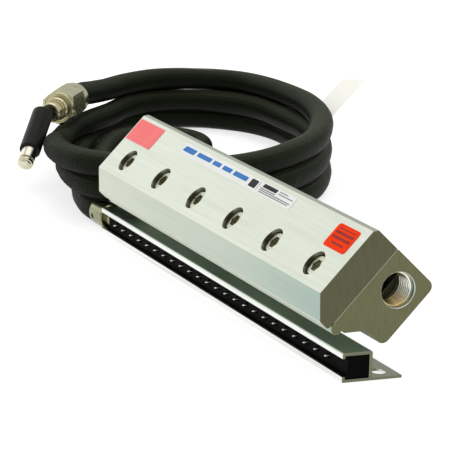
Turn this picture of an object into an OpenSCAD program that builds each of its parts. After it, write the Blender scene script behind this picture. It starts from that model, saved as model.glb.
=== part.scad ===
// Compressed air knife with a static eliminator bar and its shielded cable.
// The knife is a cap and a body clamped over a thin shim, held at an angle
// above the bar by two brackets. Everything is in millimetres, +Z up.

/* [Air knife] */
// Length of the knife
knife_len = 228.6; // [152.4:38.1:304.8]
// Tilt of the top face from the horizontal, in degrees
tilt = 46.5; // [44:0.5:48]
// Thickness of the cap, from the top face to the shim
cap_t = 12.3; // [11.5:0.1:13]
// Thickness of the shim that sets the air gap
shim_t = 0.3; // [0.2:0.05:0.5]
// Depth of the whole knife, square to the top face
knife_h = 34.3; // [34:0.1:36]
// Distance from one cap screw to the next
screw_pitch = 38.1; // [38.1:38.1:38.1]
// Diameter of a counterbore for a cap screw
cbore_d = 10.8; // [10:0.1:12]
// Depth of a counterbore
cbore_depth = 7.4; // [6.5:0.1:8]
// How far the screw heads lie below the top face
head_drop = 1.4; // [0.3:0.1:2]
// Diameter of the air inlet wall
inlet_d = 13.4; // [13:0.1:13.6]
// Diameter of the inlet mouth over its chamfer
mouth_d = 14.2; // [13.9:0.1:14.6]

/* [Static eliminator bar] */
// Width of the channel, front to back
chan_w = 12.2; // [12:0.1:13]
// Height of the channel
chan_h = 11.2; // [11:0.1:12]
// Wall of the channel
chan_t = 1.2; // [1:0.1:1.3]
// Thickness of the flange behind the channel
flange_t = 1.1; // [1:0.1:1.2]
// Total width of the flange, from the front of the channel
flange_w = 24.4; // [24:0.1:28]
// Distance from one emitter pin to the next
pin_pitch = 9.525; // [9.5:0.025:9.55]
// Number of emitter pins
pin_count = 24; // [12:1:24]
// Width of a slot in the flange
slot_w = 5; // [4.5:0.1:5.5]
// Length of a slot in the flange
slot_len = 7.2; // [6:0.1:8]

/* [Cable] */
// Outer diameter of the shielded cable
cable_d = 11.5; // [11:0.1:11.6]
// Outer diameter of the cable hub
hub_d = 12.2; // [12:0.1:12.4]
// Size of the hexagon on the gland nut, across flats
nut_af = 15.4; // [14.5:0.1:15.6]
// Outer diameter of the plug sleeve
sleeve_d = 10; // [9.5:0.1:10.2]

/* [Brackets] */
// Width of a bracket along the knife
bracket_w = 16; // [14:1:20]
// Thickness of a bracket
bracket_t = 2; // [1.8:0.1:2.2]
// Distance of each bracket from the middle of the knife
bracket_x = 45; // [40:1:50]

/* [Hidden] */
$fn = 48;

// Section frame of the knife: x runs along the knife, y up its top face towards
// the back, z out of the top face. Its origin is on the line of cap screws.
ky = -1.964;
kz = 39.726;
front_v = -8.8;          // front edge of the top face
front_lip_v = -16.4;     // front face of the cap, above the nozzle
back_v = 22.7;
body_top = -cap_t - shim_t;
inlet_v = 12.05;
inlet_n = -23.7;
corner_r = 3;
leg_v = -6.8;
under_n = -knife_h;
chamber_n = -27;
chamber_v0 = 5.2;
chamber_v1 = 19;
end_wall = 14;
hx = knife_len / 2;

// Section frame of the bar: y = 0 is the front of the channel, z = 0 its base.
bar_x0 = -131;
bar_x1 = 118.5;
slot_in = 7.2;
slot_y = 18;
pin_z = 5.9;
pin_x0 = -117;
pin_r = 0.4;
groove_y = 2.2;
hub_x0 = -145.4;
hub_y = 5.45;
hub_z = 6.1;

// The origin is at the middle of the base of knife and bar together.
ox = -(hub_x0 + bar_x1) / 2;
front_y = ky + front_v * cos(tilt);
rear_y = ky + (back_v + 0.1 - corner_r) * cos(tilt) - (under_n + corner_r) * sin(tilt) + corner_r;
oy = -(front_y + rear_y) / 2;

module place() translate([ox, oy, 0]) children();
module on_knife() place() translate([0, ky, kz]) rotate([tilt, 0, 0]) children();
// A section drawn in y and z, run along x.
module along(x0, x1) translate([x0, 0, 0]) rotate([90, 0, 90]) linear_extrude(x1 - x0) children();
module rod_x(x0, x1, r) translate([x0, 0, 0]) rotate([0, 90, 0]) cylinder(h = x1 - x0, r = r);
module rrect(w, h, r) {
    translate([r, 0]) square([w - 2 * r, h]);
    translate([0, r]) square([w, h - 2 * r]);
    for (x = [r, w - r], y = [r, h - r]) translate([x, y]) circle(r = r, $fn = 24);
}

function screw_xs() = [for (i = [0 : 5]) (i - 2.5) * screw_pitch];
function arc(cx, cy, r, a0, a1, n) = [for (i = [0 : n]) let (a = a0 + (a1 - a0) * i / n) [cx + r * cos(a), cy + r * sin(a)]];

// ---------- knife ----------
module knife_cap() color([0.80, 0.82, 0.80]) on_knife() difference() {
    along(-hx, hx) polygon([
        [back_v - 0.3, -cap_t], [back_v, -cap_t + 0.3], [back_v, -1.4], [back_v - 1.7, 0],
        [front_v, 0], [front_lip_v + 0.1, -7.6], [front_lip_v, -8.2],
        [front_lip_v, -cap_t + 0.6], [front_lip_v + 0.9, -cap_t]]);
    for (x = screw_xs()) {
        translate([x, 0, -cbore_depth]) cylinder(h = 20, d = cbore_d);
        translate([x, 0, -20]) cylinder(h = 30, r = 3.3);
    }
}

module knife_body() color([0.74, 0.76, 0.74]) on_knife() difference() {
    along(-hx, hx) polygon(concat(
        [[front_lip_v + 1.6, body_top], [back_v - 0.2, body_top], [back_v + 0.1, body_top - 0.3]],
        arc(back_v + 0.1 - corner_r, under_n + corner_r, corner_r, 0, -90, 6),
        arc(leg_v + corner_r, under_n + corner_r, corner_r, -90, -180, 6),
        [[leg_v, -24.8], [-13.1, -18.4]],
        arc(-14.3, -15.2, 1.9, -60, -180, 6),
        [[-16.1, -13.9]]));
    // air chamber under the shim
    translate([-hx + end_wall, chamber_v0, chamber_n])
        cube([knife_len - 2 * end_wall, chamber_v1 - chamber_v0, 30]);
    // shallow relief that feeds the nozzle between the screws
    for (i = [0 : 4]) translate([(i - 2) * screw_pitch - 13, -13, body_top - 0.5])
        cube([26, chamber_v0 + 14, 3]);
    for (x = screw_xs()) translate([x, 0, -25]) cylinder(h = 20, r = 3);
    // air inlets in both ends and in the underside
    translate([0, inlet_v, inlet_n]) {
        rod_x(-hx - 1, -hx + end_wall, inlet_d / 2);
        rod_x(hx - end_wall, hx + 1, inlet_d / 2);
        for (s = [-1, 1]) translate([s * hx, 0, 0]) rotate([0, -s * 90, 0]) translate([0, 0, -0.01])
            cylinder(h = 0.8, d1 = mouth_d, d2 = mouth_d - 1.6);
    }
    translate([0, inlet_v, under_n - 1]) cylinder(h = 10, d = inlet_d);
    // tapped holes for the brackets
    for (s = [-1, 1]) translate([s * bracket_x, 9, under_n - 1]) cylinder(h = 6.5, r = 2.5);
}

module nozzle_shim() color([0.86, 0.87, 0.87]) on_knife() translate([0, 0, -cap_t - shim_t])
    linear_extrude(shim_t) difference() {
        union() {
            translate([-hx, 19.4]) square([knife_len, back_v - 19.7]);
            for (s = [-1, 1]) translate([s * (hx - 7) - 7, -13]) square([14, 33]);
            for (x = screw_xs()) translate([x - 5, -4.5]) square([10, 25]);
        }
        for (x = screw_xs()) translate([x, 0]) circle(r = 3.3);
    }

module cap_screws() color([0.72, 0.72, 0.70]) on_knife() for (x = screw_xs()) translate([x, 0, 0]) difference() {
    union() {
        translate([0, 0, -cbore_depth]) cylinder(h = cbore_depth - head_drop - 0.5, r = 4.65);
        translate([0, 0, -head_drop - 0.5]) cylinder(h = 0.5, r1 = 4.65, r2 = 4.2);
        translate([0, 0, -24]) cylinder(h = 24 - cbore_depth + 0.1, r = 3);
    }
    translate([0, 0, -head_drop - 3]) cylinder(h = 4, r = 2.75, $fn = 6);
}

module pipe_plug(len) difference() {
    cylinder(h = len, d = inlet_d);
    translate([0, 0, len - 5]) cylinder(h = 6, r = 3.7, $fn = 6);
}
module inlet_plug_left() color([0.66, 0.66, 0.62]) on_knife()
    translate([-hx + 11.2, inlet_v, inlet_n]) rotate([0, -90, 0]) pipe_plug(10);
module inlet_plug_bottom() color([0.66, 0.66, 0.62]) on_knife()
    translate([0, inlet_v, chamber_n - 0.6]) rotate([180, 0, 0]) pipe_plug(6);

// ---------- printed labels ----------
module label(x0, x1, v0, v1, r) on_knife() translate([x0, v0, 0]) linear_extrude(0.12) rrect(x1 - x0, v1 - v0, r);
module label_pink() color([0.93, 0.62, 0.60]) label(-113.4, -86, 8.4, 19.4, 0.8);
module label_red() color([0.84, 0.34, 0.20]) label(90.5, 108.5, 7.8, 18.4, 1.6);
module label_white() color([0.95, 0.95, 0.93]) label(-60.5, 51, 13.3, 19, 0.8);

// ---------- bar ----------
module bar_channel() color([0.55, 0.57, 0.53]) place() difference() {
    along(bar_x0, bar_x1) polygon([
        [0.3, 0], [flange_w, 0], [flange_w, flange_t], [chan_w, flange_t], [chan_w, chan_h - 0.4],
        [chan_w - 0.4, chan_h], [0.4, chan_h], [0, chan_h - 0.4], [0, 9], [chan_t, 9],
        [chan_t, chan_h - chan_t], [chan_w - chan_t, chan_h - chan_t], [chan_w - chan_t, flange_t],
        [chan_t, flange_t], [chan_t, 2.2], [0, 2.2], [0, 0.3]]);
    for (x = [bar_x0 + slot_in, bar_x1 - slot_in]) translate([x, slot_y, -1]) {
        for (s = [-1, 1]) translate([s * (slot_len - slot_w) / 2, 0, 0]) cylinder(h = 4, d = slot_w);
        translate([-(slot_len - slot_w) / 2, -slot_w / 2, 0]) cube([slot_len - slot_w, slot_w, 4]);
    }
    for (s = [-1, 1]) translate([s * bracket_x, 17.6, -1]) cylinder(h = 4, r = 2);
}

module bar_insulator() color([0.08, 0.08, 0.08]) place() difference() {
    along(-126.6, bar_x1 - 0.3) polygon([
        [chan_t, flange_t], [chan_w - chan_t, flange_t], [chan_w - chan_t, chan_h - chan_t],
        [chan_t, chan_h - chan_t], [chan_t, 8.8], [groove_y, 8.8], [groove_y, 2.4], [chan_t, 2.4]]);
    for (i = [0 : pin_count - 1]) translate([pin_x0 + i * pin_pitch, 0, pin_z]) rotate([-90, 0, 0]) {
        cylinder(h = 7.5, r = pin_r, $fn = 24);
        cylinder(h = groove_y + 0.6, r = 1.2, $fn = 24);
    }
    translate([-121, 7, pin_z - 1.4]) cube([228, 1.6, 2.8]);
    translate([-130, hub_y, hub_z]) rotate([0, 90, 0]) cylinder(h = 9, r = 1.6);
}

module emitter_pins() color([0.93, 0.93, 0.90]) place()
    for (i = [0 : pin_count - 1]) translate([pin_x0 + i * pin_pitch, 0, pin_z]) rotate([-90, 0, 0]) {
        translate([0, 0, 0.9]) cylinder(h = 6.1, r = pin_r, $fn = 24);
        translate([0, 0, 0.35]) cylinder(h = 0.55, r1 = 0.12, r2 = pin_r, $fn = 24);
    }

module hv_bus() color([0.80, 0.62, 0.30]) place() translate([-121, 7, pin_z - 1.4]) cube([228, 1.6, 2.8]);

module hv_lead() color([0.9, 0.9, 0.88]) place() translate([0, hub_y, hub_z]) rod_x(hub_x0, -121, 1.6);

module cable_hub() color([0.78, 0.77, 0.66]) place() translate([0, hub_y, hub_z]) difference() {
    rotate([0, 90, 0]) translate([0, 0, hub_x0]) rotate_extrude($fn = 64) polygon(concat(
        [[1.6, 0], [hub_d / 2 - 0.5, 0], [hub_d / 2, 0.5], [hub_d / 2, bar_x0 - hub_x0 - 0.6],
         [hub_d / 2 - 0.6, bar_x0 - hub_x0], [3.85, bar_x0 - hub_x0]],
        arc(3.05, bar_x0 - hub_x0 + 3.1, 0.8, 0, 90, 6), [[1.6, bar_x0 - hub_x0 + 3.9]]));
    translate([-141.2 , 0, 0]) rotate([100, 0, 0]) cylinder(h = 12, r = 1.25);
}

module hub_set_screw() color([0.25, 0.25, 0.25]) place() translate([-141.2, hub_y, hub_z])
    rotate([100, 0, 0]) difference() {
        translate([0, 0, 1.9]) cylinder(h = 3.4, r = 1.25);
        translate([0, 0, 4.1]) cylinder(h = 3, r = 0.75, $fn = 6);
    }

// ---------- brackets ----------
function plane_z(y, n) = kz + (y - ky + n * sin(tilt)) / cos(tilt) * sin(tilt) + n * cos(tilt);
function arm_end(v, n) = [ky + v * cos(tilt) - n * sin(tilt), kz + v * sin(tilt) + n * cos(tilt)];
module bracket(x) place() difference() {
    along(x - bracket_w / 2, x + bracket_w / 2) polygon([
        [12.9, flange_t], [24, flange_t], [24, plane_z(24, under_n - bracket_t)],
        arm_end(16.5, under_n - bracket_t), arm_end(16.5, under_n),
        [24 - bracket_t, plane_z(24 - bracket_t, under_n)], [24 - bracket_t, flange_t + bracket_t],
        [12.9, flange_t + bracket_t]]);
    translate([x, 17.6, 0]) cylinder(h = 6, r = 2.2);
    translate([x, ky, kz]) rotate([tilt, 0, 0]) translate([0, 9, under_n - 4]) cylinder(h = 6, r = 2.7);
}
module bracket_left() color([0.62, 0.63, 0.62]) bracket(-bracket_x);
module bracket_right() color([0.62, 0.63, 0.62]) bracket(bracket_x);

module bracket_studs() color([0.70, 0.70, 0.66]) place() for (s = [-1, 1]) translate([s * bracket_x, 17.6, 0])
    cylinder(h = 8.2, r = 2);
module bracket_washers() color([0.72, 0.72, 0.70]) place() for (s = [-1, 1])
    translate([s * bracket_x, 17.6, flange_t + bracket_t]) difference() {
        cylinder(h = 0.6, r = 4);
        translate([0, 0, -1]) cylinder(h = 3, r = 2.15);
    }
module bracket_nuts() color([0.72, 0.72, 0.68]) place() for (s = [-1, 1])
    translate([s * bracket_x, 17.6, flange_t + bracket_t + 0.6]) difference() {
        cylinder(h = 3.2, r = 4.04, $fn = 6);
        translate([0, 0, -1]) cylinder(h = 6, r = 2);
    }
module knife_mount_screws() color([0.70, 0.70, 0.68]) on_knife() for (s = [-1, 1])
    translate([s * bracket_x, 9, under_n]) difference() {
        union() {
            translate([0, 0, -bracket_t]) cylinder(h = bracket_t + 5.2, r = 2.5);
            translate([0, 0, -bracket_t - 2.4]) cylinder(h = 2.4, r1 = 4, r2 = 4.7);
        }
        translate([0, 0, -bracket_t - 3]) cylinder(h = 2.2, r = 1.7, $fn = 6);
    }

// ---------- cable ----------
// The route starts at the hub, turns back on itself inside the coil, then lies in
// three turns one on another, and ends at the gland on top.
cable_lead = [[-145.4, 5.45, 6.1], [-158, 5.6, 6.1], [-176, 9.2, 5.8], [-194, 15, 5.75], [-210, 24, 5.75],
    [-227, 33.8, 5.75], [-245, 41.5, 5.75], [-268, 52.5, 5.75], [-290, 66.5, 5.75], [-298, 76.5, 5.75],
    [-299, 89, 5.75], [-293, 100, 5.75], [-282, 106, 5.75], [-269, 105, 5.75], [-259.5, 97, 5.75],
    [-249.5, 81.5, 5.75], [-238, 66, 5.75], [-220, 51, 5.75], [-193, 34.5, 5.75], [-168, 25, 5.75],
    [-146.5, 30, 5.75], [-134.5, 48, 5.75], [-133.5, 71, 5.75]];
turn_1 = [[-144, 96, 5.75], [-163, 116.5, 5.75], [-189, 133, 5.75], [-217, 145.5, 5.75],
    [-247, 154.5, 5.75], [-277, 159.5, 5.75], [-302, 160, 5.75], [-324, 153.5, 5.75], [-340, 138, 5.75],
    [-346.5, 116, 5.75], [-341, 94, 5.75], [-325, 75, 5.75], [-303, 58, 5.75], [-279, 45, 5.75],
    [-256, 33, 5.9], [-236, 23.2, 7.5], [-216, 14.8, 12], [-198, 8.4, 15.6], [-180, 3.6, 16.8],
    [-161, 0.8, 17.4], [-144, 2.2, 18.1], [-130.5, 12, 18], [-122.5, 30, 17], [-121.5, 52, 16],
    [-127.5, 74, 16.2]];
turn_2 = [[-139.5, 95, 17.25], [-161, 116, 17.25], [-189, 133, 17.25], [-217, 145, 17.25],
    [-246, 151.5, 17.25], [-274, 153, 16.9], [-302, 151, 16.5], [-322, 145, 15.8], [-336, 130, 15.1],
    [-339.5, 110, 15.1], [-331, 91, 15.2], [-314, 73, 15.8], [-293, 55, 17], [-271, 36.5, 17.4],
    [-249, 23.8, 18], [-226, 13.6, 21], [-204, 4.2, 24.9], [-182, -2.5, 27.2], [-161, -4.8, 28.4],
    [-142, -2, 29.5], [-128.5, 9.5, 29.5], [-121.5, 29, 28.6], [-121.5, 52, 27.6], [-127.5, 74, 27.8]];
cable_end = [[-139.5, 95, 28.75], [-161, 116, 28.75], [-187, 132, 28.75], [-214, 144.5, 28.75],
    [-244, 153, 28.75], [-272, 156.5, 28.3], [-302, 155.5, 27.8], [-326, 150, 27], [-340.5, 133, 27],
    [-343, 110, 27.2], [-334, 89, 27.1], [-317.5, 71.5, 27.9], [-300, 57, 30], [-284.4, 45.7, 32.5],
    [-275.2, 39, 32.5]];
function cable_route() = concat(cable_lead, turn_1, turn_2, cable_end);

function unit(a) = a / norm(a);
function tangent(p, i) = unit(p[min(i + 1, len(p) - 1)] - p[max(i - 1, 0)]);
// Straight end faces: the end rings take the direction of the end lengths.
function ring_dir(p, i) = i == 0 ? unit(p[1] - p[0]) : i == len(p) - 1 ? unit(p[i] - p[i - 1]) : tangent(p, i);
module tube(p, r, n) {
    m = len(p);
    pts = [for (i = [0 : m - 1]) let (t = ring_dir(p, i), s = unit(cross([0, 0, 1], t)), w = cross(t, s))
        for (k = [0 : n - 1]) let (a = 360 * (k + 0.5) / n) p[i] + r * (cos(a) * s + sin(a) * w)];
    polyhedron(points = pts, faces = concat(
        [[for (k = [0 : n - 1]) k]],
        [for (i = [0 : m - 2], k = [0 : n - 1]) [i * n + k, (i + 1) * n + k, (i + 1) * n + (k + 1) % n, i * n + (k + 1) % n]],
        [[for (k = [0 : n - 1]) m * n - 1 - k]]), convexity = 10);
}
module cable_hose() color([0.10, 0.10, 0.09]) place() tube(cable_route(), cable_d / 2, 8);

// ---------- connector ----------
gland_at = [-275.2, 39, 32.5];
gland_dir = -36;
module on_gland(s) place() translate(gland_at) rotate([0, 0, gland_dir]) translate([s, 0, 0]) rotate([0, 90, 0]) children();
module cable_ferrule() color([0.78, 0.77, 0.68]) on_gland(0) rotate_extrude($fn = 48)
    polygon(concat([[0, 0], [6.2, 0]], arc(6.2, 1.8, 1.8, -80, 0, 5), [[8, 7.5], [0, 7.5]]));
module gland_nut() color([0.78, 0.77, 0.66]) on_gland(7.5) difference() {
    intersection() {
        rotate([0, 0, 10]) cylinder(h = 19, r = nut_af / sqrt(3), $fn = 6);
        union() {
            cylinder(h = 1.2, r1 = 7.9, r2 = 9.2);
            translate([0, 0, 1.2]) cylinder(h = 16.6, r = 9.2);
            translate([0, 0, 17.8]) cylinder(h = 1.2, r1 = 9.2, r2 = 7.9);
        }
    }
    translate([0, 0, -1]) cylinder(h = 30, r = 4);
}
module gland_collar() color([0.70, 0.69, 0.58]) on_gland(26.5) difference() {
    union() {
        cylinder(h = 1.8, r = 7.8);
        translate([0, 0, 1.8]) cylinder(h = 0.4, r1 = 7.8, r2 = 7.4);
    }
    translate([0, 0, -1]) cylinder(h = 5, r = 4);
    translate([0, 0, 1.2]) cylinder(h = 5, r = 6.7);
}
module gland_body() color([0.82, 0.78, 0.60]) on_gland(7.5) difference() {
    union() {
        cylinder(h = 20.2, r = 4);
        translate([0, 0, 20.2]) cylinder(h = 3.6, r = 5.7);
        translate([0, 0, 23.8]) cylinder(h = 0.6, r1 = 5.7, r2 = 5.1);
        translate([0, 0, 24.4]) cylinder(h = 1, r = 4.4);
        translate([0, 0, 25.4]) cylinder(h = 3.2, r = 5.1);
        translate([0, 0, 28.6]) cylinder(h = 0.8, r = 4.2);
        translate([0, 0, 29.4]) cylinder(h = 4.2, r = 4.8);
        translate([0, 0, 33.6]) cylinder(h = 0.6, r1 = 4.8, r2 = 4.2);
    }
    translate([0, 0, 14]) cylinder(h = 24, r = 2.4);
}

sleeve_at = [-239.4, 10.3, 33];
sleeve_az = -34.4;
sleeve_polar = 120.7;
function sleeve_vec() = [sin(sleeve_polar) * cos(sleeve_az), sin(sleeve_polar) * sin(sleeve_az), cos(sleeve_polar)];
function gland_vec() = [cos(gland_dir), sin(gland_dir), 0];
module on_sleeve(s) place() translate(sleeve_at) rotate([0, 0, sleeve_az]) rotate([0, sleeve_polar, 0]) translate([0, 0, s]) children();
module plug_core() color([0.12, 0.12, 0.12]) place() tube([
    gland_at + 21.5 * gland_vec(), gland_at + 42 * gland_vec(),
    sleeve_at - 0.1 * sleeve_vec(), sleeve_at + 9 * sleeve_vec()], 2.35, 12);
module plug_sleeve() color([0.09, 0.10, 0.10]) on_sleeve(0) difference() {
    rotate_extrude($fn = 48) polygon([[0, 0], [sleeve_d / 2 - 0.8, 0], [sleeve_d / 2, 0.8], [sleeve_d / 2, 27.2 - 0.3],
        [sleeve_d / 2 - 0.3, 27.2], [0, 27.2]]);
    translate([0, 0, -1]) cylinder(h = 40, r = 2.6);
    translate([0, 0, 20]) cylinder(h = 20, r = 3.2);
}
module contact_plug() color([0.84, 0.82, 0.72]) on_sleeve(27.2) {
    translate([0, 0, -7.2]) cylinder(h = 7.2, r = 3.2);
    cylinder(h = 6.6, r = 3.7);
}
module contact_tip() color([0.86, 0.78, 0.50]) on_sleeve(33.8) rotate_extrude($fn = 48)
    polygon(concat([[0, 0], [3, 0], [3, 0.8], [3.6, 1.1], [3.75, 1.5], [3.75, 2.3], [3.5, 2.7]],
        arc(0, 0.4, 3.9, 37, 90, 8)));

// Paper flag stuck by one end under the outer side of the top turn of the cable.
module cable_tag() color([0.96, 0.96, 0.92]) place() translate([-244.4, 159, 23.4]) rotate([30, -8, 23])
    translate([-8, 0, 0]) cube([16, 31, 0.22]);

knife_cap();
knife_body();
nozzle_shim();
cap_screws();
inlet_plug_left();
inlet_plug_bottom();
label_pink();
label_red();
label_white();
bar_channel();
bar_insulator();
emitter_pins();
hv_bus();
hv_lead();
cable_hub();
hub_set_screw();
cable_hose();
cable_ferrule();
gland_nut();
gland_collar();
gland_body();
plug_core();
plug_sleeve();
contact_plug();
contact_tip();
cable_tag();
bracket_left();
bracket_right();
bracket_studs();
bracket_washers();
bracket_nuts();
knife_mount_screws();
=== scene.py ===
"""Looks of the compressed air knife with its static eliminator bar and shielded cable.

Everything is in metres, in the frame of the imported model.
"""
import math

import bpy
import bmesh
import numpy as np
from mathutils import Matrix, Vector


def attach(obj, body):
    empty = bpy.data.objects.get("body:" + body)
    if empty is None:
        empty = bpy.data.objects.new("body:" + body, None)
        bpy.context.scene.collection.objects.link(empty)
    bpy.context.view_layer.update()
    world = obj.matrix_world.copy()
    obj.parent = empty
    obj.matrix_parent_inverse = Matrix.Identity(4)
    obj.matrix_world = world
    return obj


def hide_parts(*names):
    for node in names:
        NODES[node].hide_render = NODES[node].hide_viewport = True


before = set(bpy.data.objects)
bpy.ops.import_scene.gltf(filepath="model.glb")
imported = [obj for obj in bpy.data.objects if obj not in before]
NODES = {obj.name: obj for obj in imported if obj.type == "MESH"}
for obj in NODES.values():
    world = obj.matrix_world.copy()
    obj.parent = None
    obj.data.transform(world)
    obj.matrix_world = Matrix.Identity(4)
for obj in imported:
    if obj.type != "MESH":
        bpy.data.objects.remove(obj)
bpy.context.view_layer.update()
scene = bpy.context.scene

# The drawing's own origin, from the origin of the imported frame.
OFFSET = Vector((0.01345, -0.014674059, 0.0))


def at(x, y, z):
    """A point of the drawing, in millimetres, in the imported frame."""
    return Vector((x, y, z)) * 0.001 + OFFSET


TILT = math.radians(46.5)
KNIFE_Y, KNIFE_Z = -1.964, 39.726


def on_knife(x, v, n):
    """A point of the knife's section frame: along the knife, up its top face, out of its top face."""
    return at(
        x,
        KNIFE_Y + v * math.cos(TILT) - n * math.sin(TILT),
        KNIFE_Z + v * math.sin(TILT) + n * math.cos(TILT),
    )


# ---------------------------------------------------------------- camera
cam_data = bpy.data.cameras.new("view_camera")
cam = bpy.data.objects.new("view_camera", cam_data)
scene.collection.objects.link(cam)
right = Vector((0.39007, 0.920347, 0.028396)).normalized()
back = Vector((0.894511, -0.386073, 0.225381)).normalized()
up = back.cross(right).normalized()
right = up.cross(back).normalized()
place = at(1000.142036, -428.552993, 284.304646)
cam.matrix_world = Matrix(
    (
        (right.x, up.x, back.x, place.x),
        (right.y, up.y, back.y, place.y),
        (right.z, up.z, back.z, place.z),
        (0, 0, 0, 1),
    )
)
cam_data.sensor_fit = "HORIZONTAL"
cam_data.sensor_width = 36.0
cam_data.lens = 223.957
cam_data.clip_start = 0.05
cam_data.clip_end = 30.0
scene.camera = cam


# ---------------------------------------------------------------- mesh helpers
def new_object(name, verts, faces, smooth=True):
    mesh = bpy.data.meshes.new(name)
    mesh.from_pydata([tuple(v) for v in verts], [], faces)
    mesh.update()
    if smooth:
        mesh.polygons.foreach_set("use_smooth", [True] * len(mesh.polygons))
    obj = bpy.data.objects.new(name, mesh)
    scene.collection.objects.link(obj)
    return obj


def catmull(points, closeness):
    """A smooth line through the points, as a dense list about closeness apart."""
    p = [Vector(q) for q in points]
    p = [p[0] * 2 - p[1]] + p + [p[-1] * 2 - p[-2]]
    out = []
    for i in range(1, len(p) - 2):
        a, b, c, d = p[i - 1], p[i], p[i + 1], p[i + 2]
        m = max(2, int(math.ceil((c - b).length / closeness)))
        for k in range(m):
            t = k / m
            out.append(
                0.5
                * (
                    (2 * b)
                    + (c - a) * t
                    + (2 * a - 5 * b + 4 * c - d) * t * t
                    + (-a + 3 * b - 3 * c + d) * t ** 3
                )
            )
    out.append(p[-2])
    return np.array([tuple(q) for q in out])


def even(line, step):
    """The same line, resampled at an even step."""
    seg = np.linalg.norm(np.diff(line, axis=0), axis=1)
    s = np.concatenate([[0.0], np.cumsum(seg)])
    n = max(2, int(round(s[-1] / step)))
    want = np.linspace(0.0, s[-1], n + 1)
    return np.stack([np.interp(want, s, line[:, k]) for k in range(3)], 1), s[-1]


def carried_frames(line):
    """A side and an up direction along the line that don't twist."""
    t = np.gradient(line, axis=0)
    t /= np.linalg.norm(t, axis=1)[:, None]
    side = np.cross([0.0, 0.0, 1.0], t[0])
    side /= np.linalg.norm(side)
    sides = [side]
    for i in range(1, len(line)):
        side = side - t[i] * np.dot(side, t[i])
        side /= np.linalg.norm(side)
        sides.append(side)
    sides = np.array(sides)
    return t, sides, np.cross(t, sides)


def swept(name, line, radii, sides):
    """A closed tube along the line, with one radius for each ring."""
    t, s, w = carried_frames(line)
    a = np.arange(sides) * 2 * math.pi / sides
    ring = np.cos(a)[None, :, None] * s[:, None, :] + np.sin(a)[None, :, None] * w[:, None, :]
    verts = (line[:, None, :] + ring * np.array(radii)[:, None, None]).reshape(-1, 3)
    m = len(line)
    faces = []
    for i in range(m - 1):
        for k in range(sides):
            j = (k + 1) % sides
            faces.append((i * sides + k, i * sides + j, (i + 1) * sides + j, (i + 1) * sides + k))
    verts = list(map(tuple, verts))
    first = len(verts)
    verts.append(tuple(line[0]))
    verts.append(tuple(line[-1]))
    for k in range(sides):
        j = (k + 1) % sides
        faces.append((first, j, k))
        faces.append((first + 1, (m - 1) * sides + k, (m - 1) * sides + j))
    return new_object(name, verts, faces)


# ---------------------------------------------------------------- cable
LEAD = [[-145.4, 5.45, 6.1], [-158, 5.6, 6.1], [-176, 9.2, 5.8], [-194, 15, 5.75], [-210, 24, 5.75],
        [-227, 33.8, 5.75], [-245, 41.5, 5.75], [-268, 52.5, 5.75], [-290, 66.5, 5.75], [-298, 76.5, 5.75],
        [-299, 89, 5.75], [-293, 100, 5.75], [-282, 106, 5.75], [-269, 105, 5.75], [-259.5, 97, 5.75],
        [-249.5, 81.5, 5.75], [-238, 66, 5.75], [-220, 51, 5.75], [-193, 34.5, 5.75], [-168, 25, 5.75],
        [-146.5, 30, 5.75], [-134.5, 48, 5.75], [-133.5, 71, 5.75]]
TURN_1 = [[-144, 96, 5.75], [-163, 116.5, 5.75], [-189, 133, 5.75], [-217, 145.5, 5.75],
          [-247, 154.5, 5.75], [-277, 159.5, 5.75], [-302, 160, 5.75], [-324, 153.5, 5.75],
          [-340, 138, 5.75], [-346.5, 116, 5.75], [-341, 94, 5.75], [-325, 75, 5.75], [-303, 58, 5.75],
          [-279, 45, 5.75], [-256, 33, 5.9], [-236, 23.2, 7.5], [-216, 14.8, 12], [-198, 8.4, 15.6],
          [-180, 3.6, 16.8], [-161, 0.8, 17.4], [-144, 2.2, 18.1], [-130.5, 12, 18], [-122.5, 30, 17],
          [-121.5, 52, 16], [-127.5, 74, 16.2]]
TURN_2 = [[-139.5, 95, 17.25], [-161, 116, 17.25], [-189, 133, 17.25], [-217, 145, 17.25],
          [-246, 151.5, 17.25], [-274, 153, 16.9], [-302, 152, 16.9], [-322.6, 146, 16.3], [-338, 131, 15.9],
          [-341.6, 110, 15.9], [-333, 90.4, 15.8], [-314, 73, 15.8], [-293, 55, 17], [-271, 36.5, 17.4],
          [-249, 23.8, 18], [-226, 13.6, 21], [-204, 4.2, 24.9], [-182, -2.5, 27.2], [-161, -4.8, 28.4],
          [-142, -2, 29.5], [-128.5, 9.5, 29.5], [-121.5, 29, 28.6], [-121.5, 52, 27.6], [-127.5, 74, 27.8]]
END = [[-139.5, 95, 28.75], [-161, 116, 28.75], [-187, 132, 28.75], [-214, 144.5, 28.75],
       [-244, 153, 28.75], [-272, 156.2, 28.1], [-302, 155, 27.6], [-325.5, 149, 26.9], [-340, 132.5, 26.8],
       [-342.6, 110, 27], [-334, 89.3, 26.9], [-317.5, 71.7, 27.7], [-300, 57, 30], [-284.4, 45.7, 32.5],
       [-275.2, 39, 32.5]]
route = LEAD + TURN_1 + TURN_2 + END
route = [tuple(at(*p)) for p in route]
centre = catmull(route, 0.001)

PITCH = 0.0012
fine, _ = even(centre, PITCH / 3)
cycle = [0.00522, 0.00578, 0.00580]
radii = np.array([cycle[i % 3] for i in range(len(fine))])
radii[:6] = 0.0056
radii[-6:] = 0.0056
hose = swept("cable_ribbed", fine, radii, 18)
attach(hose, "root")
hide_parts("cable_hose")


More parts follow.
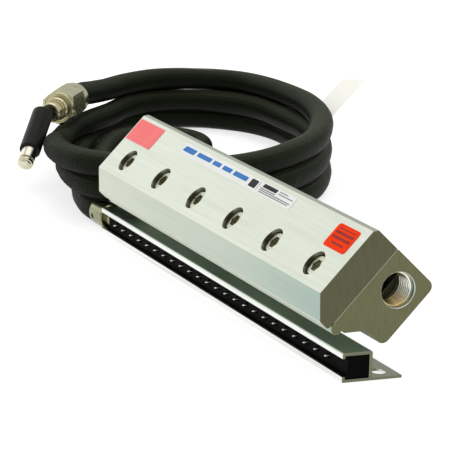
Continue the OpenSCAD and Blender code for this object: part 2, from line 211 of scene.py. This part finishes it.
# ---------------------------------------------------------------- inlet thread
def thread(name, x0, x1, v, n, root, crest, pitch, per_turn=48):
    """A fine thread ridge that runs round the wall of a bore along X, from x0 to x1."""
    turns = abs(x1 - x0) / pitch - 1.0
    steps = int(turns * per_turn)
    sign = 1.0 if x1 > x0 else -1.0
    verts, faces = [], []
    for i in range(steps + 1):
        a = 2 * math.pi * i / per_turn
        lead = x0 + sign * pitch * (i / per_turn + 0.5)
        grow = min(1.0, i / 30.0, (steps - i) / 30.0)
        top = root + 0.05 - (root + 0.05 - crest) * max(0.06, grow)
        for dx, r in ((-0.47, root + 0.05), (-0.08, top), (0.08, top), (0.47, root + 0.05)):
            verts.append(on_knife(lead + dx * pitch, v + r * math.cos(a), n + r * math.sin(a)))
    for i in range(steps):
        for k in range(3):
            b = i * 4 + k
            faces.append((b, b + 4, b + 5, b + 1))
        b = i * 4
        faces.append((b, b + 3, b + 7, b + 4))
    faces.append((0, 1, 2, 3))
    faces.append((steps * 4 + 3, steps * 4 + 2, steps * 4 + 1, steps * 4))
    obj = new_object(name, verts, faces)
    fix_normals(obj)
    return obj


def fix_normals(obj):
    bm = bmesh.new()
    bm.from_mesh(obj.data)
    bmesh.ops.recalc_face_normals(bm, faces=bm.faces)
    bm.to_mesh(obj.data)
    bm.free()


inlet_thread = thread("inlet_thread", 113.4, 100.6, 12.05, -23.7, 6.7, 5.85, 1.41)
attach(inlet_thread, "root")


# ---------------------------------------------------------------- printed fields
def rounded(x0, x1, v0, v1, r, lean=0.0, steps=4):
    """Corner points of a rounded rectangle. lean slants it along x."""
    r = min(r, (x1 - x0) / 2, (v1 - v0) / 2)
    pts = []
    for cx, cv, a0 in ((x1 - r, v1 - r, 0), (x0 + r, v1 - r, 90), (x0 + r, v0 + r, 180), (x1 - r, v0 + r, 270)):
        for k in range(steps + 1):
            a = math.radians(a0 + 90 * k / steps)
            pts.append((cx + r * math.cos(a), cv + r * math.sin(a)))
    return [(x + lean * (v - v0), v) for x, v in pts]


def printed(name, outlines, base, height):
    """Thin raised fields of one colour on a label."""
    verts, faces = [], []
    for outline in outlines:
        k = len(outline)
        b = len(verts)
        verts += [on_knife(x, v, base) for x, v in outline]
        verts += [on_knife(x, v, base + height) for x, v in outline]
        faces.append(tuple(b + k + i for i in range(k)))
        faces.append(tuple(b + i for i in reversed(range(k))))
        for i in range(k):
            j = (i + 1) % k
            faces.append((b + i, b + j, b + k + j, b + k + i))
    obj = new_object(name, verts, faces, smooth=False)
    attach(obj, "root")
    return obj


TOP = 0.115
blue_print = printed("white_label_blue_fields", [
    rounded(-59.3, -47.6, 15.2, 17.7, 0.5, 0.35),
    rounded(-44.8, -30.6, 15.6, 17.6, 0.5, 0.1),
    rounded(-28.4, -20.6, 15.6, 17.6, 0.5, 0.1),
    rounded(-18.2, -9.4, 15.6, 17.6, 0.5, 0.1),
    rounded(-7.0, 6.6, 15.6, 17.7, 0.5, 0.1),
], TOP, 0.03)
dark_print = printed("white_label_dark_fields", [
    rounded(9.8, 16.2, 14.6, 18.2, 0.4),
    rounded(21.0, 33.8, 16.8, 18.5, 0.3, 0.3),
], TOP, 0.03)
line_print = printed("white_label_fine_lines", [
    rounded(17.6, 17.95, 14.6, 18.4, 0.1),
    rounded(36.0, 43.6, 18.0, 18.35, 0.1),
    rounded(36.0, 49.4, 16.95, 17.3, 0.1),
    rounded(20.2, 34.0, 15.9, 16.3, 0.1),
    rounded(20.2, 49.0, 15.15, 15.5, 0.1),
    rounded(20.6, 48.2, 14.35, 14.7, 0.1),
], TOP, 0.03)
red_print = printed("red_label_bars", [
    rounded(92.6, 106.4, 16.35, 16.8, 0.15),
    rounded(92.2, 106.8, 14.2, 15.4, 0.3),
    rounded(92.2, 106.8, 12.0, 13.2, 0.3),
    rounded(94.6, 104.4, 9.8, 10.7, 0.25),
], TOP, 0.03)


# ---------------------------------------------------------------- materials
def material(name):
    mat = bpy.data.materials.new(name)
    mat.use_nodes = True
    tree = mat.node_tree
    for n in list(tree.nodes):
        tree.nodes.remove(n)
    out = tree.nodes.new("ShaderNodeOutputMaterial")
    bsdf = tree.nodes.new("ShaderNodeBsdfPrincipled")
    tree.links.new(bsdf.outputs[0], out.inputs[0])
    return mat, tree, bsdf


def node(tree, kind, **values):
    n = tree.nodes.new(kind)
    for key, value in values.items():
        if key.startswith("in_"):
            n.inputs[int(key[3:]) if key[3:].isdigit() else key[3:].replace("_", " ")].default_value = value
        else:
            setattr(n, key, value)
    return n


def coords(tree, scale=(1, 1, 1), rotation=(0, 0, 0)):
    tc = node(tree, "ShaderNodeTexCoord")
    mp = node(tree, "ShaderNodeMapping")
    mp.inputs["Scale"].default_value = scale
    mp.inputs["Rotation"].default_value = rotation
    tree.links.new(tc.outputs["Object"], mp.inputs["Vector"])
    return mp.outputs["Vector"]


def noise(tree, vec, scale, detail=3.0, rough=0.55):
    n = node(tree, "ShaderNodeTexNoise")
    n.inputs["Scale"].default_value = scale
    n.inputs["Detail"].default_value = detail
    n.inputs["Roughness"].default_value = rough
    tree.links.new(vec, n.inputs["Vector"])
    return n.outputs["Fac"]


def remap(tree, fac, low, high, from_low=0.3, from_high=0.7):
    m = node(tree, "ShaderNodeMapRange")
    m.inputs["From Min"].default_value = from_low
    m.inputs["From Max"].default_value = from_high
    m.inputs["To Min"].default_value = low
    m.inputs["To Max"].default_value = high
    tree.links.new(fac, m.inputs["Value"])
    return m.outputs["Result"]


def blend_colour(tree, fac, a, b):
    m = node(tree, "ShaderNodeMix", data_type="RGBA")
    for socket, value in ((m.inputs[6], a), (m.inputs[7], b)):
        if isinstance(value, tuple):
            socket.default_value = (*value, 1.0) if len(value) == 3 else value
        else:
            tree.links.new(value, socket)
    tree.links.new(fac, m.inputs[0])
    return m.outputs[2]


def math_node(tree, operation, a, b=None, clamp=False):
    m = node(tree, "ShaderNodeMath", operation=operation, use_clamp=clamp)
    for i, value in enumerate((a, b)):
        if value is None:
            continue
        if isinstance(value, (int, float)):
            m.inputs[i].default_value = value
        else:
            tree.links.new(value, m.inputs[i])
    return m.outputs[0]


def bump(tree, bsdf, height, strength, distance=0.0002, before=None):
    b = node(tree, "ShaderNodeBump")
    b.inputs["Strength"].default_value = strength
    b.inputs["Distance"].default_value = distance
    tree.links.new(height, b.inputs["Height"])
    if before is not None:
        tree.links.new(before, b.inputs["Normal"])
    tree.links.new(b.outputs["Normal"], bsdf.inputs["Normal"])
    return b.outputs["Normal"]


def object_normal(tree):
    """Separate X, Y and Z of the surface's own normal. The objects stand at the origin, unturned."""
    g = node(tree, "ShaderNodeNewGeometry")
    s = node(tree, "ShaderNodeSeparateXYZ")
    tree.links.new(g.outputs["True Normal"], s.inputs[0])
    return s.outputs


def object_place(tree):
    tc = node(tree, "ShaderNodeTexCoord")
    s = node(tree, "ShaderNodeSeparateXYZ")
    tree.links.new(tc.outputs["Object"], s.inputs[0])
    return s.outputs


def metal(name, light, dark, rough, grain=(40, 40, 40), grain_scale=30.0, bump_strength=0.08,
          rough_spread=0.06, anisotropic=0.0):
    """A plated or machined metal with a fine directional grain and cloudy variation."""
    mat, tree, bsdf = material(name)
    bsdf.inputs["Metallic"].default_value = 1.0
    cloud = noise(tree, coords(tree), 60.0, 3.0)
    lines = noise(tree, coords(tree, grain), grain_scale, 4.0, 0.6)
    mixed = math_node(tree, "ADD", math_node(tree, "MULTIPLY", cloud, 0.5), math_node(tree, "MULTIPLY", lines, 0.5))
    tree.links.new(blend_colour(tree, remap(tree, mixed, 0.0, 1.0, 0.35, 0.65), dark, light), bsdf.inputs["Base Color"])
    tree.links.new(remap(tree, lines, rough - rough_spread, rough + rough_spread), bsdf.inputs["Roughness"])
    bsdf.inputs["Anisotropic"].default_value = anisotropic
    bump(tree, bsdf, lines, bump_strength, 0.0001)
    return mat


# Knife: brushed along its length, with milled ends that are rougher. The ends' dark colour is a painted dark
# reflection, and the front face and upward flats carry painted shade.
def knife_metal(name, tint, ends, lift):
    mat, tree, bsdf = material(name)
    bsdf.inputs["Metallic"].default_value = 1.0
    normal = object_normal(tree)
    place_xyz = object_place(tree)
    along = noise(tree, coords(tree, (0.25, 14, 14)), 60.0, 5.0, 0.6)
    cloud = noise(tree, coords(tree, (1, 2.5, 2.5)), 14.0, 3.0)
    across = noise(tree, coords(tree, (30, 26, 2.2)), 60.0, 4.0, 0.6)
    end = remap(tree, math_node(tree, "ABSOLUTE", normal[0]), 0.0, 1.0, 0.75, 0.95)
    body = blend_colour(tree, remap(tree, cloud, 0.0, 1.0), tuple(c * 0.95 for c in tint), tint)
    body = blend_colour(tree, remap(tree, along, 0.0, 0.35, 0.3, 0.7), body, tuple(c * 0.86 for c in tint))
    # painted shade: the front face is painted darker towards the right, as the far left of the length catches more
    # light than the right
    fade = remap(tree, place_xyz[0], 0.0, 1.0, -0.10, 0.13)
    front = remap(tree, math_node(tree, "MULTIPLY", normal[1], -1.0), 0.0, 1.0, 0.80, 0.97)
    painted_shade_right = math_node(tree, "MULTIPLY", math_node(tree, "MULTIPLY", front, fade), 0.55)
    body = blend_colour(tree, painted_shade_right, body, (tint[0] * 0.42, tint[1] * 0.54, tint[2] * 0.56))
    # painted shade: faces that point to the front are painted darker
    facing = remap(tree, math_node(tree, "MULTIPLY", normal[1], -1.0), 0.0, 0.16, 0.80, 0.97)
    body = blend_colour(tree, facing, body, (tint[0] * 0.55, tint[1] * 0.60, tint[2] * 0.52))
    # painted shade: the front face is painted darker and bluer at its right end
    right_end = math_node(tree, "MULTIPLY", remap(tree, place_xyz[0], 0.0, 0.42, 0.05, 0.125), front)
    body = blend_colour(tree, right_end, body, (tint[0] * 0.40, tint[1] * 0.56, tint[2] * 0.62))
    # painted shade: upward-facing flats are painted darker
    flat_top = remap(tree, normal[2], 0.0, 0.42, 0.90, 0.985)
    body = blend_colour(tree, flat_top, body, (tint[0] * 0.40, tint[1] * 0.45, tint[2] * 0.38))
    # painted dark reflection: the end faces take a dark olive colour; only their extra roughness is the milled finish
    end_colour = blend_colour(tree, remap(tree, across, 0.0, 1.0), tuple(c * 0.90 for c in ends), tuple(c * 1.10 for c in ends))
    tree.links.new(blend_colour(tree, end, body, end_colour), bsdf.inputs["Base Color"])
    rough_body = remap(tree, along, lift - 0.05, lift + 0.07)
    rough = math_node(tree, "ADD", rough_body, math_node(tree, "MULTIPLY", end, 0.08))
    tree.links.new(rough, bsdf.inputs["Roughness"])
    height = math_node(tree, "ADD", math_node(tree, "MULTIPLY", along, math_node(tree, "SUBTRACT", 1.0, end)),
                       math_node(tree, "MULTIPLY", across, end))
    bump(tree, bsdf, height, 0.12, 0.00008)
    return mat


M = {}
# the last colour given to each is the painted dark reflection on the knife's end faces
M["knife_cap"] = knife_metal("brushed_aluminium", (0.66, 0.70, 0.60), (0.118, 0.116, 0.068), 0.40)
M["knife_body"] = knife_metal("brushed_aluminium_body", (0.64, 0.68, 0.57), (0.158, 0.160, 0.086), 0.42)


def bore_metal():
    mat, tree, bsdf = material("threaded_bore")
    bsdf.inputs["Metallic"].default_value = 1.0
    height = object_place(tree)[2]
    lines = noise(tree, coords(tree, (4, 60, 60)), 30.0, 4.0, 0.6)
    cool = blend_colour(tree, remap(tree, lines, 0.0, 1.0), (0.78, 0.79, 0.70), (0.97, 0.97, 0.92))
    warm = blend_colour(tree, remap(tree, lines, 0.0, 1.0), (0.62, 0.44, 0.18), (0.92, 0.72, 0.36))
    tree.links.new(blend_colour(tree, remap(tree, height, 1.0, 0.0, 0.0265, 0.0305), cool, warm), bsdf.inputs["Base Color"])
    tree.links.new(remap(tree, lines, 0.12, 0.22), bsdf.inputs["Roughness"])
    bump(tree, bsdf, lines, 0.04, 0.0001)
    return mat


M["bore"] = bore_metal()
M["shim"] = metal("shim_steel", (0.30, 0.30, 0.22), (0.24, 0.24, 0.17), 0.34, (1, 30, 30), 40.0)
M["screw"] = metal("screw_steel", (0.56, 0.56, 0.46), (0.38, 0.38, 0.29), 0.22, (30, 30, 30), 30.0, 0.05)
M["plug"] = metal("plug_steel", (0.55, 0.55, 0.48), (0.38, 0.38, 0.32), 0.35, (30, 30, 30), 30.0)
M["pin"] = metal("pin_steel", (0.90, 0.90, 0.86), (0.78, 0.78, 0.74), 0.22, (30, 4, 30), 30.0, 0.03)
M["brass"] = metal("bus_brass", (0.80, 0.60, 0.26), (0.66, 0.47, 0.18), 0.30, (1, 30, 30), 30.0)
M["nickel"] = metal("nickel_plate", (0.60, 0.59, 0.36), (0.44, 0.43, 0.25), 0.24, (2, 40, 40), 30.0, 0.03)
M["hub"] = metal("hub_nickel", (0.34, 0.35, 0.20), (0.20, 0.21, 0.11), 0.26, (2, 40, 40), 30.0, 0.05)
M["collar"] = metal("nickel_collar", (0.60, 0.58, 0.36), (0.44, 0.42, 0.25), 0.26, (40, 40, 2), 30.0, 0.05)
M["gland_body"] = metal("brassy_nickel", (0.78, 0.72, 0.48), (0.60, 0.52, 0.30), 0.24, (40, 40, 40), 30.0, 0.05)
M["dark_steel"] = metal("dark_steel", (0.10, 0.10, 0.09), (0.06, 0.06, 0.055), 0.38, (30, 30, 30), 30.0)
M["contact"] = metal("contact_metal", (0.80, 0.78, 0.66), (0.66, 0.64, 0.52), 0.20, (30, 30, 30), 30.0, 0.03)
M["gold"] = metal("contact_gold", (0.72, 0.70, 0.54), (0.58, 0.55, 0.38), 0.22, (30, 30, 30), 30.0, 0.03)
M["bracket"] = metal("bracket_steel", (0.60, 0.61, 0.58), (0.46, 0.47, 0.44), 0.40, (2, 30, 30), 30.0, 0.08)


def channel_metal():
    mat, tree, bsdf = material("channel_aluminium")
    bsdf.inputs["Metallic"].default_value = 1.0
    normal = object_normal(tree)
    along = noise(tree, coords(tree, (0.25, 16, 16)), 60.0, 5.0, 0.6)
    cloud = noise(tree, coords(tree, (1, 3, 3)), 20.0, 3.0)
    face = remap(tree, math_node(tree, "MULTIPLY", normal[1], -1.0), 0.0, 1.0, 0.7, 0.95)
    top = remap(tree, normal[2], 0.0, 1.0, 0.7, 0.97)
    base = blend_colour(tree, remap(tree, cloud, 0.0, 1.0), (0.50, 0.53, 0.47), (0.60, 0.63, 0.56))
    # painted shade: upward faces are painted dark, bronze on the low flange and grey-green on the higher top
    base = blend_colour(tree, top, base, blend_colour(tree, remap(tree, object_place(tree)[2], 0.0, 1.0, 0.004, 0.008), (0.26, 0.26, 0.165), (0.37, 0.50, 0.40)))
    # painted highlight: faces that point to the front are painted near white
    base = blend_colour(tree, face, base, (0.95, 0.97, 0.93))
    base = blend_colour(tree, remap(tree, along, 0.0, 0.3, 0.3, 0.7), base, (0.40, 0.44, 0.40))
    # painted dark reflection: the end faces are painted dark olive
    end = remap(tree, math_node(tree, "ABSOLUTE", normal[0]), 0.0, 1.0, 0.75, 0.95)
    base = blend_colour(tree, end, base, (0.17, 0.17, 0.11))
    tree.links.new(base, bsdf.inputs["Base Color"])
    tree.links.new(remap(tree, along, 0.30, 0.42), bsdf.inputs["Roughness"])
    bump(tree, bsdf, along, 0.12, 0.00008)
    return mat


M["channel"] = channel_metal()


def plain(name, light, dark, rough, scale=60.0, bump_scale=400.0, bump_strength=0.1, bump_distance=0.0001,
          specular=0.5, coat=0.0, stretch=(1, 1, 1)):
    """Plastic, rubber or paper: two close tones in soft clouds, and a fine grain."""
    mat, tree, bsdf = material(name)
    cloud = noise(tree, coords(tree), scale, 3.0)
    fine_grain = noise(tree, coords(tree, stretch), bump_scale, 3.0, 0.6)
    tree.links.new(blend_colour(tree, remap(tree, cloud, 0.0, 1.0), dark, light), bsdf.inputs["Base Color"])
    tree.links.new(remap(tree, fine_grain, rough - 0.05, rough + 0.06), bsdf.inputs["Roughness"])
    bsdf.inputs["Specular IOR Level"].default_value = specular
    bsdf.inputs["Coat Weight"].default_value = coat
    bump(tree, bsdf, fine_grain, bump_strength, bump_distance)
    return mat


M["pink"] = plain("pink_label", (0.99, 0.205, 0.205), (0.97, 0.180, 0.182), 0.50, 120.0, 900.0, 0.04, specular=0.12)
M["red"] = plain("red_label", (0.97, 0.050, 0.006), (0.93, 0.044, 0.005), 0.55, 120.0, 900.0, 0.04, specular=0.02)
M["red_dark"] = plain("red_label_bars", (0.36, 0.020, 0.008), (0.30, 0.016, 0.007), 0.50, 120.0, 900.0, 0.02, specular=0.10)
M["white"] = plain("white_label", (0.86, 0.88, 0.85), (0.80, 0.82, 0.78), 0.40, 90.0, 900.0, 0.04, specular=0.35)
M["blue"] = plain("blue_fields", (0.030, 0.20, 0.58), (0.024, 0.17, 0.50), 0.50, 120.0, 900.0, 0.02, specular=0.12)
M["dark_field"] = plain("dark_fields", (0.016, 0.016, 0.015), (0.010, 0.010, 0.010), 0.50, 120.0, 900.0, 0.02, specular=0.12)
M["line_field"] = plain("fine_lines", (0.15, 0.15, 0.14), (0.11, 0.11, 0.10), 0.5, 120.0, 900.0, 0.02, specular=0.15)
M["insulator"] = plain("black_insulator", (0.0030, 0.0030, 0.0026), (0.0018, 0.0018, 0.0018), 0.60, 80.0, 700.0, 0.08,
                       0.0001, specular=0.025, stretch=(0.3, 3, 3))
M["lead"] = plain("lead_insulation", (0.80, 0.80, 0.76), (0.72, 0.72, 0.68), 0.45, 90.0, 500.0, 0.05)
M["rubber"] = plain("sleeve_rubber", (0.0095, 0.0105, 0.0068), (0.0060, 0.0066, 0.0044), 0.45, 80.0, 800.0, 0.10,
                    specular=0.16)
M["paper"] = plain("tag_paper", (0.95, 0.945, 0.88), (0.92, 0.91, 0.83), 0.6, 120.0, 900.0, 0.05, specular=0.2)
# painted light: the tag paper glows faintly so it stays as pale as the backdrop
glow = next(n for n in M["paper"].node_tree.nodes if n.type == "BSDF_PRINCIPLED")
glow.inputs["Emission Color"].default_value = (1.0, 0.99, 0.90, 1.0)
glow.inputs["Emission Strength"].default_value = 0.14


def hose_material():
    mat, tree, bsdf = material("ribbed_hose")
    cloud = noise(tree, coords(tree), 45.0, 4.0)
    dust = noise(tree, coords(tree), 700.0, 3.0, 0.6)
    base = blend_colour(tree, remap(tree, cloud, 0.0, 1.0), (0.0100, 0.0128, 0.0064), (0.0160, 0.0205, 0.0100))
    height = object_normal(tree)[2]
    # painted shade: the hose is painted darker where its surface faces down
    base = blend_colour(tree, remap(tree, height, 1.0, 0.0, -0.2, 0.55), base, (0.0032, 0.0042, 0.0022))
    # painted highlight: a lighter olive band is painted where the hose faces up
    painted_highlight_crown = math_node(tree, "MULTIPLY", remap(tree, height, 0.0, 1.0, 0.62, 0.93), 0.75)
    base = blend_colour(tree, painted_highlight_crown, base, (0.082, 0.098, 0.056))
    tree.links.new(base, bsdf.inputs["Base Color"])
    tree.links.new(remap(tree, dust, 0.30, 0.42), bsdf.inputs["Roughness"])
    bsdf.inputs["Specular IOR Level"].default_value = 0.5
    bsdf.inputs["IOR"].default_value = 1.18
    bsdf.inputs["Specular Tint"].default_value = (0.90, 1.0, 0.74, 1.0)
    bump(tree, bsdf, dust, 0.10, 0.0001)
    return mat


M["hose"] = hose_material()


def floor_material():
    mat, tree, bsdf = material("pale_floor")
    bsdf.inputs["Base Color"].default_value = (0.52, 0.52, 0.52, 1.0)
    bsdf.inputs["Emission Color"].default_value = (1.0, 1.0, 1.0, 1.0)
    bsdf.inputs["Emission Strength"].default_value = 0.72
    bsdf.inputs["Roughness"].default_value = 0.9
    bsdf.inputs["Specular IOR Level"].default_value = 0.0
    return mat


def paint(obj, mat):
    mesh = obj.data
    if len(obj.material_slots) == 0:
        mesh.materials.append(mat)
        return
    for s in obj.material_slots:
        s.material = mat


for node_name, key in {
    "knife_cap": "knife_cap", "knife_body": "knife_body", "nozzle_shim": "shim", "cap_screws": "screw",
    "inlet_plug_left": "plug", "inlet_plug_bottom": "plug", "label_pink": "pink", "label_red": "red",
    "label_white": "white", "bar_channel": "channel", "bar_insulator": "insulator", "emitter_pins": "pin",
    "hv_bus": "brass", "hv_lead": "lead", "cable_hub": "hub", "hub_set_screw": "dark_steel",
    "cable_hose": "hose", "cable_ferrule": "nickel", "gland_nut": "nickel", "gland_collar": "collar",
    "gland_body": "gland_body", "plug_core": "rubber", "plug_sleeve": "rubber", "contact_plug": "contact",
    "contact_tip": "gold", "cable_tag": "paper", "bracket_left": "bracket", "bracket_right": "bracket",
    "bracket_studs": "screw", "bracket_washers": "screw", "bracket_nuts": "screw", "knife_mount_screws": "screw",
}.items():
    paint(NODES[node_name], M[key])
for obj, key in ((hose, "hose"), (inlet_thread, "bore"), (blue_print, "blue"), (dark_print, "dark_field"),
                 (line_print, "line_field"), (red_print, "red_dark")):
    paint(obj, M[key])


# ---------------------------------------------------------------- edges of the carried-over nodes
def clean_group():
    """Joins the split corners, drops the stored corner directions, and shades smooth up to a set angle."""
    g = bpy.data.node_groups.new("clean_edges", "GeometryNodeTree")
    g.interface.new_socket("Geometry", in_out="INPUT", socket_type="NodeSocketGeometry")
    g.interface.new_socket("Geometry", in_out="OUTPUT", socket_type="NodeSocketGeometry")
    gi, go = g.nodes.new("NodeGroupInput"), g.nodes.new("NodeGroupOutput")
    merge = g.nodes.new("GeometryNodeMergeByDistance")
    merge.inputs["Distance"].default_value = 1e-6
    drop = g.nodes.new("GeometryNodeRemoveAttribute")
    drop.inputs["Name"].default_value = "custom_normal"
    faces = g.nodes.new("GeometryNodeSetShadeSmooth")
    faces.domain = "FACE"
    faces.inputs["Shade Smooth"].default_value = True
    angle = g.nodes.new("GeometryNodeInputMeshEdgeAngle")
    compare = g.nodes.new("FunctionNodeCompare")
    compare.data_type = "FLOAT"
    compare.operation = "GREATER_THAN"
    compare.inputs["B"].default_value = math.radians(28)
    edges = g.nodes.new("GeometryNodeSetShadeSmooth")
    edges.domain = "EDGE"
    edges.inputs["Shade Smooth"].default_value = False
    link = g.links.new
    link(gi.outputs[0], merge.inputs[0])
    link(merge.outputs[0], drop.inputs[0])
    link(drop.outputs[0], faces.inputs[0])
    link(angle.outputs[0], compare.inputs["A"])
    link(faces.outputs[0], edges.inputs[0])
    link(compare.outputs[0], edges.inputs["Selection"])
    link(edges.outputs[0], go.inputs[0])
    return g


CLEAN = clean_group()


def soften(name, width, segments=2):
    obj = NODES[name]
    first = obj.modifiers.new("clean", "NODES")
    first.node_group = CLEAN
    if width <= 0:
        return
    flat = obj.modifiers.new("flat", "DECIMATE")
    flat.decimate_type = "DISSOLVE"
    flat.angle_limit = math.radians(0.6)
    edge = obj.modifiers.new("edge", "BEVEL")
    edge.width = width
    edge.segments = segments
    edge.limit_method = "ANGLE"
    edge.angle_limit = math.radians(28)
    edge.harden_normals = True
    edge.miter_outer = "MITER_ARC"


for node_name, width in {
    "knife_cap": 0.00022, "knife_body": 0.00022, "nozzle_shim": 0.0, "cap_screws": 0.00014,
    "inlet_plug_left": 0.0002, "inlet_plug_bottom": 0.0002, "label_pink": 0.0, "label_red": 0.0,
    "label_white": 0.0, "bar_channel": 0.00015, "bar_insulator": 0.00010, "emitter_pins": 0.0,
    "hv_bus": 0.0001, "hv_lead": 0.0, "cable_hub": 0.00018, "hub_set_screw": 0.00008,
    "cable_ferrule": 0.0002, "gland_nut": 0.00022, "gland_collar": 0.00012, "gland_body": 0.00015,
    "plug_core": 0.0, "plug_sleeve": 0.00015, "contact_plug": 0.00015, "contact_tip": 0.0001,
    "cable_tag": 0.0, "bracket_left": 0.0002, "bracket_right": 0.0002, "bracket_studs": 0.0002,
    "bracket_washers": 0.00012, "bracket_nuts": 0.0002, "knife_mount_screws": 0.00018,
}.items():
    soften(node_name, width)


# ---------------------------------------------------------------- floor and light
bpy.ops.mesh.primitive_plane_add(size=14.0, location=(0, 0, -0.00002))
floor = bpy.context.object
floor.name = "floor"
floor.data.materials.append(floor_material())


def area(name, place_at, aim, size, energy, colour=(1, 1, 1), size_y=None):
    data = bpy.data.lights.new(name, "AREA")
    data.shape = "RECTANGLE"
    data.size = size
    data.size_y = size_y or size
    data.energy = energy
    data.color = colour
    obj = bpy.data.objects.new(name, data)
    scene.collection.objects.link(obj)
    obj.location = place_at
    obj.rotation_euler = (Vector(aim) - Vector(place_at)).to_track_quat("-Z", "Y").to_euler()
    return obj


area("overhead", (0.0, 0.1, 2.2), (0.0, 0.0, 0.0), 2.4, 14.0)
area("left_bank", (-2.1, -0.6, 0.95), (0.0, 0.0, 0.03), 1.8, 7.0)

world = bpy.data.worlds.new("studio")
scene.world = world
world.use_nodes = True
wt = world.node_tree
bg = wt.nodes.get("Background") or wt.nodes.new("ShaderNodeBackground")
bg.inputs["Color"].default_value = (1.0, 1.0, 1.0, 1.0)
bg.inputs["Strength"].default_value = 0.66

scene.view_settings.view_transform = "Standard"
scene.view_settings.look = "None"
scene.view_settings.exposure = 0.0
scene.view_settings.gamma = 1.0
